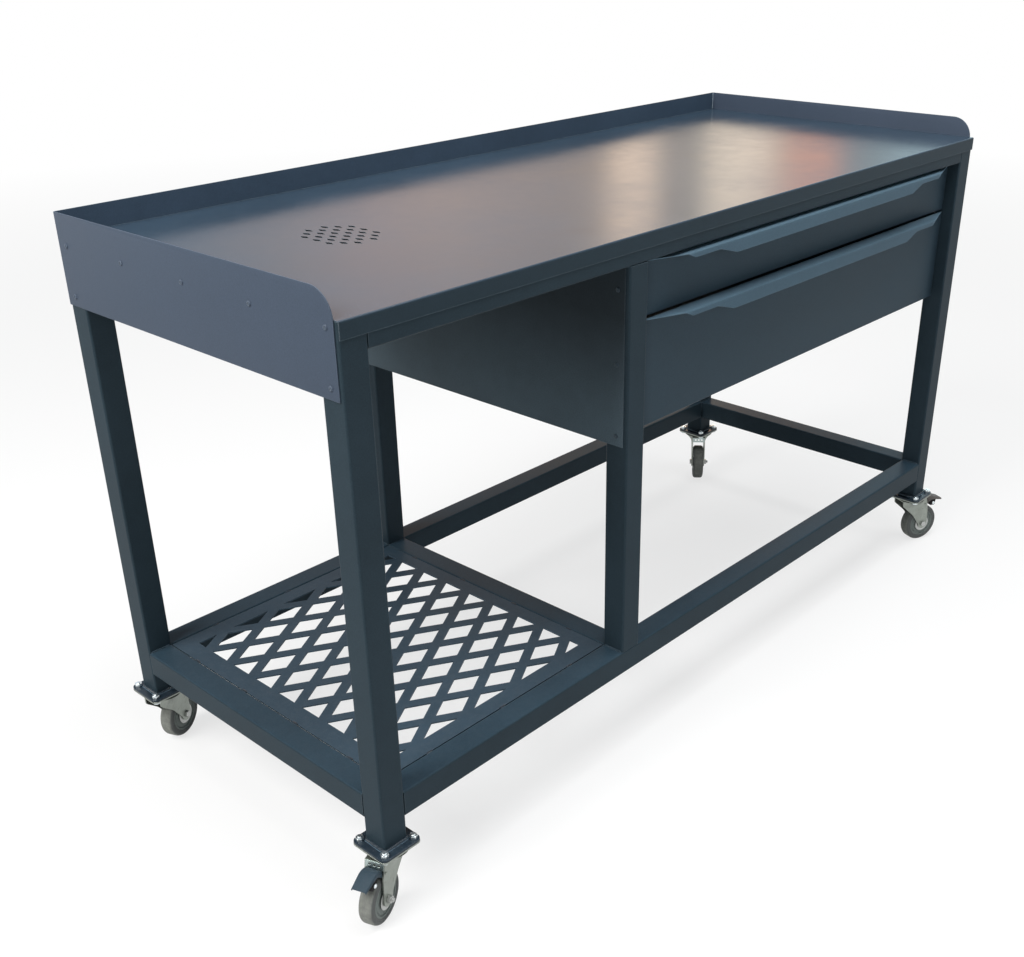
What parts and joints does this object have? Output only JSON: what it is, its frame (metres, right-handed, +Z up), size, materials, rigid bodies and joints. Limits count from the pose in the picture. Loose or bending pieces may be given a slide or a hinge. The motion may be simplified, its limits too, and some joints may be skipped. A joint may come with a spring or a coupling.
{
  "type": "jewelers bench",
  "caption": "Steel jeweller's workbench on braked swivel casters: worktop with raised back and ends, wide drawers under its right part, and an open lattice shelf below the knee space.",
  "frame": {"origin": "middle of the footprint, on the floor", "axes": "+X to the user's right along the length, +Y to the back, +Z up"},
  "size_m": [2.0481, 0.7982, 1.103],
  "materials": {
    "frame_coat": "satin anthracite powder coat",
    "worktop_coat": "semi-gloss anthracite powder coat",
    "panel_coat": "satin anthracite powder coat",
    "shelf_coat": "satin anthracite powder coat",
    "drawer_coat": "satin anthracite powder coat",
    "tray_coat": "satin anthracite powder coat",
    "slide_steel": "bright zinc-plated steel",
    "bright_zinc": "bright zinc-plated steel",
    "caster_zinc": "pale zinc-plated pressed steel",
    "hub_plastic": "matt grey moulding",
    "grey_rubber": "matt grey rubber",
    "pedal_coat": "satin dark blue-grey"
  },
  "bodies": {
    "frame": {"leg_front_left": "frame_coat", "leg_front_right": "frame_coat", "leg_front_middle": "frame_coat", "leg_rear_left": "frame_coat", "leg_rear_right": "frame_coat", "leg_rear_middle": "frame_coat", "rail_bottom_front": "frame_coat", "rail_bottom_rear": "frame_coat", "rail_bottom_left": "frame_coat", "rail_bottom_right": "frame_coat", "rail_bottom_cross": "frame_coat", "rail_top_front": "frame_coat", "rail_top_rear": "frame_coat", "rail_top_left": "frame_coat", "rail_top_right": "frame_coat", "rail_top_cross": "frame_coat", "worktop": "worktop_coat", "end_panel_left": "panel_coat", "end_panel_right": "panel_coat", "partition_panel": "panel_coat", "end_screws_left": "bright_zinc", "end_screws_right": "bright_zinc", "partition_screws": "bright_zinc", "shelf_plate": "shelf_coat", "shelf_tack_welds": "frame_coat", "caster_adapter_plates": "frame_coat", "caster_top_plates": "caster_zinc", "foot_weld_beads": "frame_coat", "caster_bolts": "bright_zinc", "slide_outer_members": "slide_steel"},
    "drawer_upper": {"drawer_front_upper": "drawer_coat", "drawer_tray_upper": "tray_coat", "slide_inner_members_upper": "slide_steel"},
    "slide_upper": {"slide_middle_members_upper": "slide_steel"},
    "drawer_lower": {"drawer_front_lower": "drawer_coat", "drawer_tray_lower": "tray_coat", "slide_inner_members_lower": "slide_steel"},
    "slide_lower": {"slide_middle_members_lower": "slide_steel"},
    "fork_body_front_left": {"fork_front_left": "caster_zinc", "axle_front_left": "bright_zinc", "thread_guards_front_left": "caster_zinc"},
    "wheel_body_front_left": {"hub_front_left": "hub_plastic", "tyre_front_left": "grey_rubber"},
    "pedal_body_front_left": {"brake_pedal_front_left": "pedal_coat"},
    "fork_body_front_right": {"fork_front_right": "caster_zinc", "axle_front_right": "bright_zinc", "thread_guards_front_right": "caster_zinc"},
    "wheel_body_front_right": {"hub_front_right": "hub_plastic", "tyre_front_right": "grey_rubber"},
    "pedal_body_front_right": {"brake_pedal_front_right": "pedal_coat"},
    "fork_body_rear_left": {"fork_rear_left": "caster_zinc", "axle_rear_left": "bright_zinc", "thread_guards_rear_left": "caster_zinc"},
    "wheel_body_rear_left": {"hub_rear_left": "hub_plastic", "tyre_rear_left": "grey_rubber"},
    "fork_body_rear_right": {"fork_rear_right": "caster_zinc", "axle_rear_right": "bright_zinc", "thread_guards_rear_right": "caster_zinc"},
    "wheel_body_rear_right": {"hub_rear_right": "hub_plastic", "tyre_rear_right": "grey_rubber"}
  },
  "joints": [
    {"name": "drawer_upper_slide", "type": "slide", "parent": "frame", "child": "drawer_upper", "axis": [0, -1, 0], "range_m": [0, 0.6]},
    {"name": "slide_upper_extend", "type": "slide", "parent": "frame", "child": "slide_upper", "axis": [0, -1, 0], "range_m": [0, 0.3]},
    {"name": "drawer_lower_slide", "type": "slide", "parent": "frame", "child": "drawer_lower", "axis": [0, -1, 0], "range_m": [0, 0.6]},
    {"name": "slide_lower_extend", "type": "slide", "parent": "frame", "child": "slide_lower", "axis": [0, -1, 0], "range_m": [0, 0.3]},
    {"name": "swivel_front_left", "type": "hinge", "parent": "frame", "child": "fork_body_front_left", "pos_m": [-0.9244, -0.3467, 0.125], "axis": [0, 0, 1], "continuous": true},
    {"name": "wheel_spin_front_left", "type": "hinge", "parent": "fork_body_front_left", "child": "wheel_body_front_left", "pos_m": [-0.96199, -0.36038, 0.049], "axis": [0.342, -0.9397, 0], "continuous": true},
    {"name": "brake_pedal_hinge_front_left", "type": "hinge", "parent": "fork_body_front_left", "child": "pedal_body_front_left", "pos_m": [-0.96387, -0.36107, 0.107], "axis": [0.342, -0.9397, 0], "range_deg": [0, 5]},
    {"name": "swivel_front_right", "type": "hinge", "parent": "frame", "child": "fork_body_front_right", "pos_m": [0.9256, -0.3467, 0.125], "axis": [0, 0, 1], "continuous": true},
    {"name": "wheel_spin_front_right", "type": "hinge", "parent": "fork_body_front_right", "child": "wheel_body_front_right", "pos_m": [0.96242, -0.36233, 0.049], "axis": [0.3907, 0.9205, 0], "continuous": true},
    {"name": "brake_pedal_hinge_front_right", "type": "hinge", "parent": "fork_body_front_right", "child": "pedal_body_front_right", "pos_m": [0.96426, -0.36311, 0.107], "axis": [0.3907, 0.9205, 0], "range_deg": [0, 5]},
    {"name": "swivel_rear_left", "type": "hinge", "parent": "frame", "child": "fork_body_rear_left", "pos_m": [-0.9244, 0.3533, 0.125], "axis": [0, 0, 1], "continuous": true},
    {"name": "wheel_spin_rear_left", "type": "hinge", "parent": "fork_body_rear_left", "child": "wheel_body_rear_left", "pos_m": [-0.88758, 0.36893, 0.049], "axis": [-0.3907, 0.9205, 0], "continuous": true},
    {"name": "swivel_rear_right", "type": "hinge", "parent": "frame", "child": "fork_body_rear_right", "pos_m": [0.9256, 0.3533, 0.125], "axis": [0, 0, 1], "continuous": true},
    {"name": "wheel_spin_rear_right", "type": "hinge", "parent": "fork_body_rear_right", "child": "wheel_body_rear_right", "pos_m": [0.89451, 0.32813, 0.049], "axis": [0.6293, -0.7771, 0], "continuous": true}
  ],
  "couplings": [
    {"joint": "slide_upper_extend", "follows": "drawer_upper_slide", "ratio": 0.5},
    {"joint": "slide_lower_extend", "follows": "drawer_lower_slide", "ratio": 0.5}
  ]
}
